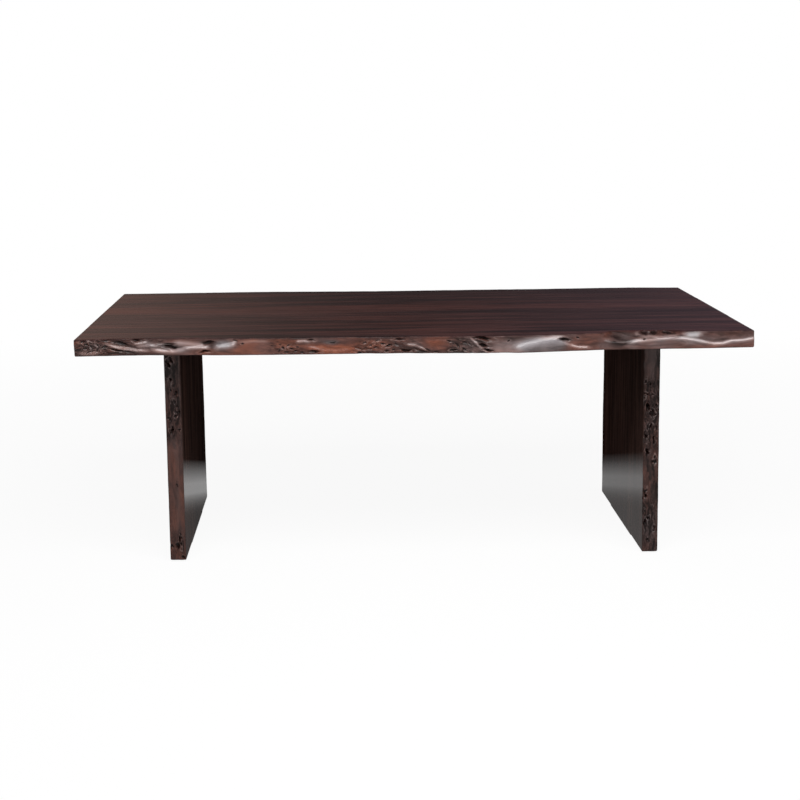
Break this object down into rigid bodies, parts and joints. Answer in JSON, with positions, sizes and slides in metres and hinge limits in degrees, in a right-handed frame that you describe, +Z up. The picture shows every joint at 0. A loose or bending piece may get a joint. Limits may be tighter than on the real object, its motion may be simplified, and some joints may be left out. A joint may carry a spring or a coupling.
{
  "type": "dining table",
  "caption": "Live edge dining table: a thick plank top with natural wavy edges on upright plank legs, joined by hidden dowels, steel plates and bolts.",
  "frame": {"origin": "on the floor, under the centre of the table's bounding box", "axes": "+X along the table's length, to the right as seen from the front; +Y from the front live edge to the rear one; +Z up"},
  "size_m": [2.134, 1.0854, 0.762],
  "materials": {
    "top_wood": "satin lacquer",
    "live_edge_wood": "satin lacquer",
    "leg_wood": "satin lacquer",
    "dowel_wood": "plain",
    "black_steel": "powder coat",
    "zinc_fasteners": "zinc plate",
    "insert_zinc": "zinc plate",
    "glide_nylon": "matt"
  },
  "bodies": {
    "root": {"channel_inserts": "insert_zinc", "channel_screws": "zinc_fasteners", "channel_washers": "zinc_fasteners", "left_leg_bolt_washers": "zinc_fasteners", "left_leg_dowels": "dowel_wood", "left_leg_front_live_edge_board": "live_edge_wood", "left_leg_glide_nails": "zinc_fasteners", "left_leg_glides": "glide_nylon", "left_leg_inner_board_1": "leg_wood", "left_leg_inner_board_2": "leg_wood", "left_leg_mounting_bolts": "zinc_fasteners", "left_leg_mounting_plate": "black_steel", "left_leg_plate_screws": "zinc_fasteners", "left_leg_rear_live_edge_board": "live_edge_wood", "left_leg_threaded_inserts": "insert_zinc", "left_stiffening_channel": "black_steel", "right_leg_bolt_washers": "zinc_fasteners", "right_leg_dowels": "dowel_wood", "right_leg_front_live_edge_board": "live_edge_wood", "right_leg_glide_nails": "zinc_fasteners", "right_leg_glides": "glide_nylon", "right_leg_inner_board_1": "leg_wood", "right_leg_inner_board_2": "leg_wood", "right_leg_mounting_bolts": "zinc_fasteners", "right_leg_mounting_plate": "black_steel", "right_leg_plate_screws": "zinc_fasteners", "right_leg_rear_live_edge_board": "live_edge_wood", "right_leg_threaded_inserts": "insert_zinc", "right_stiffening_channel": "black_steel", "top_dowels": "dowel_wood", "top_front_live_edge_board": "live_edge_wood", "top_inner_board_1": "top_wood", "top_inner_board_2": "top_wood", "top_rear_live_edge_board": "live_edge_wood"}
  },
  "joints": []
}
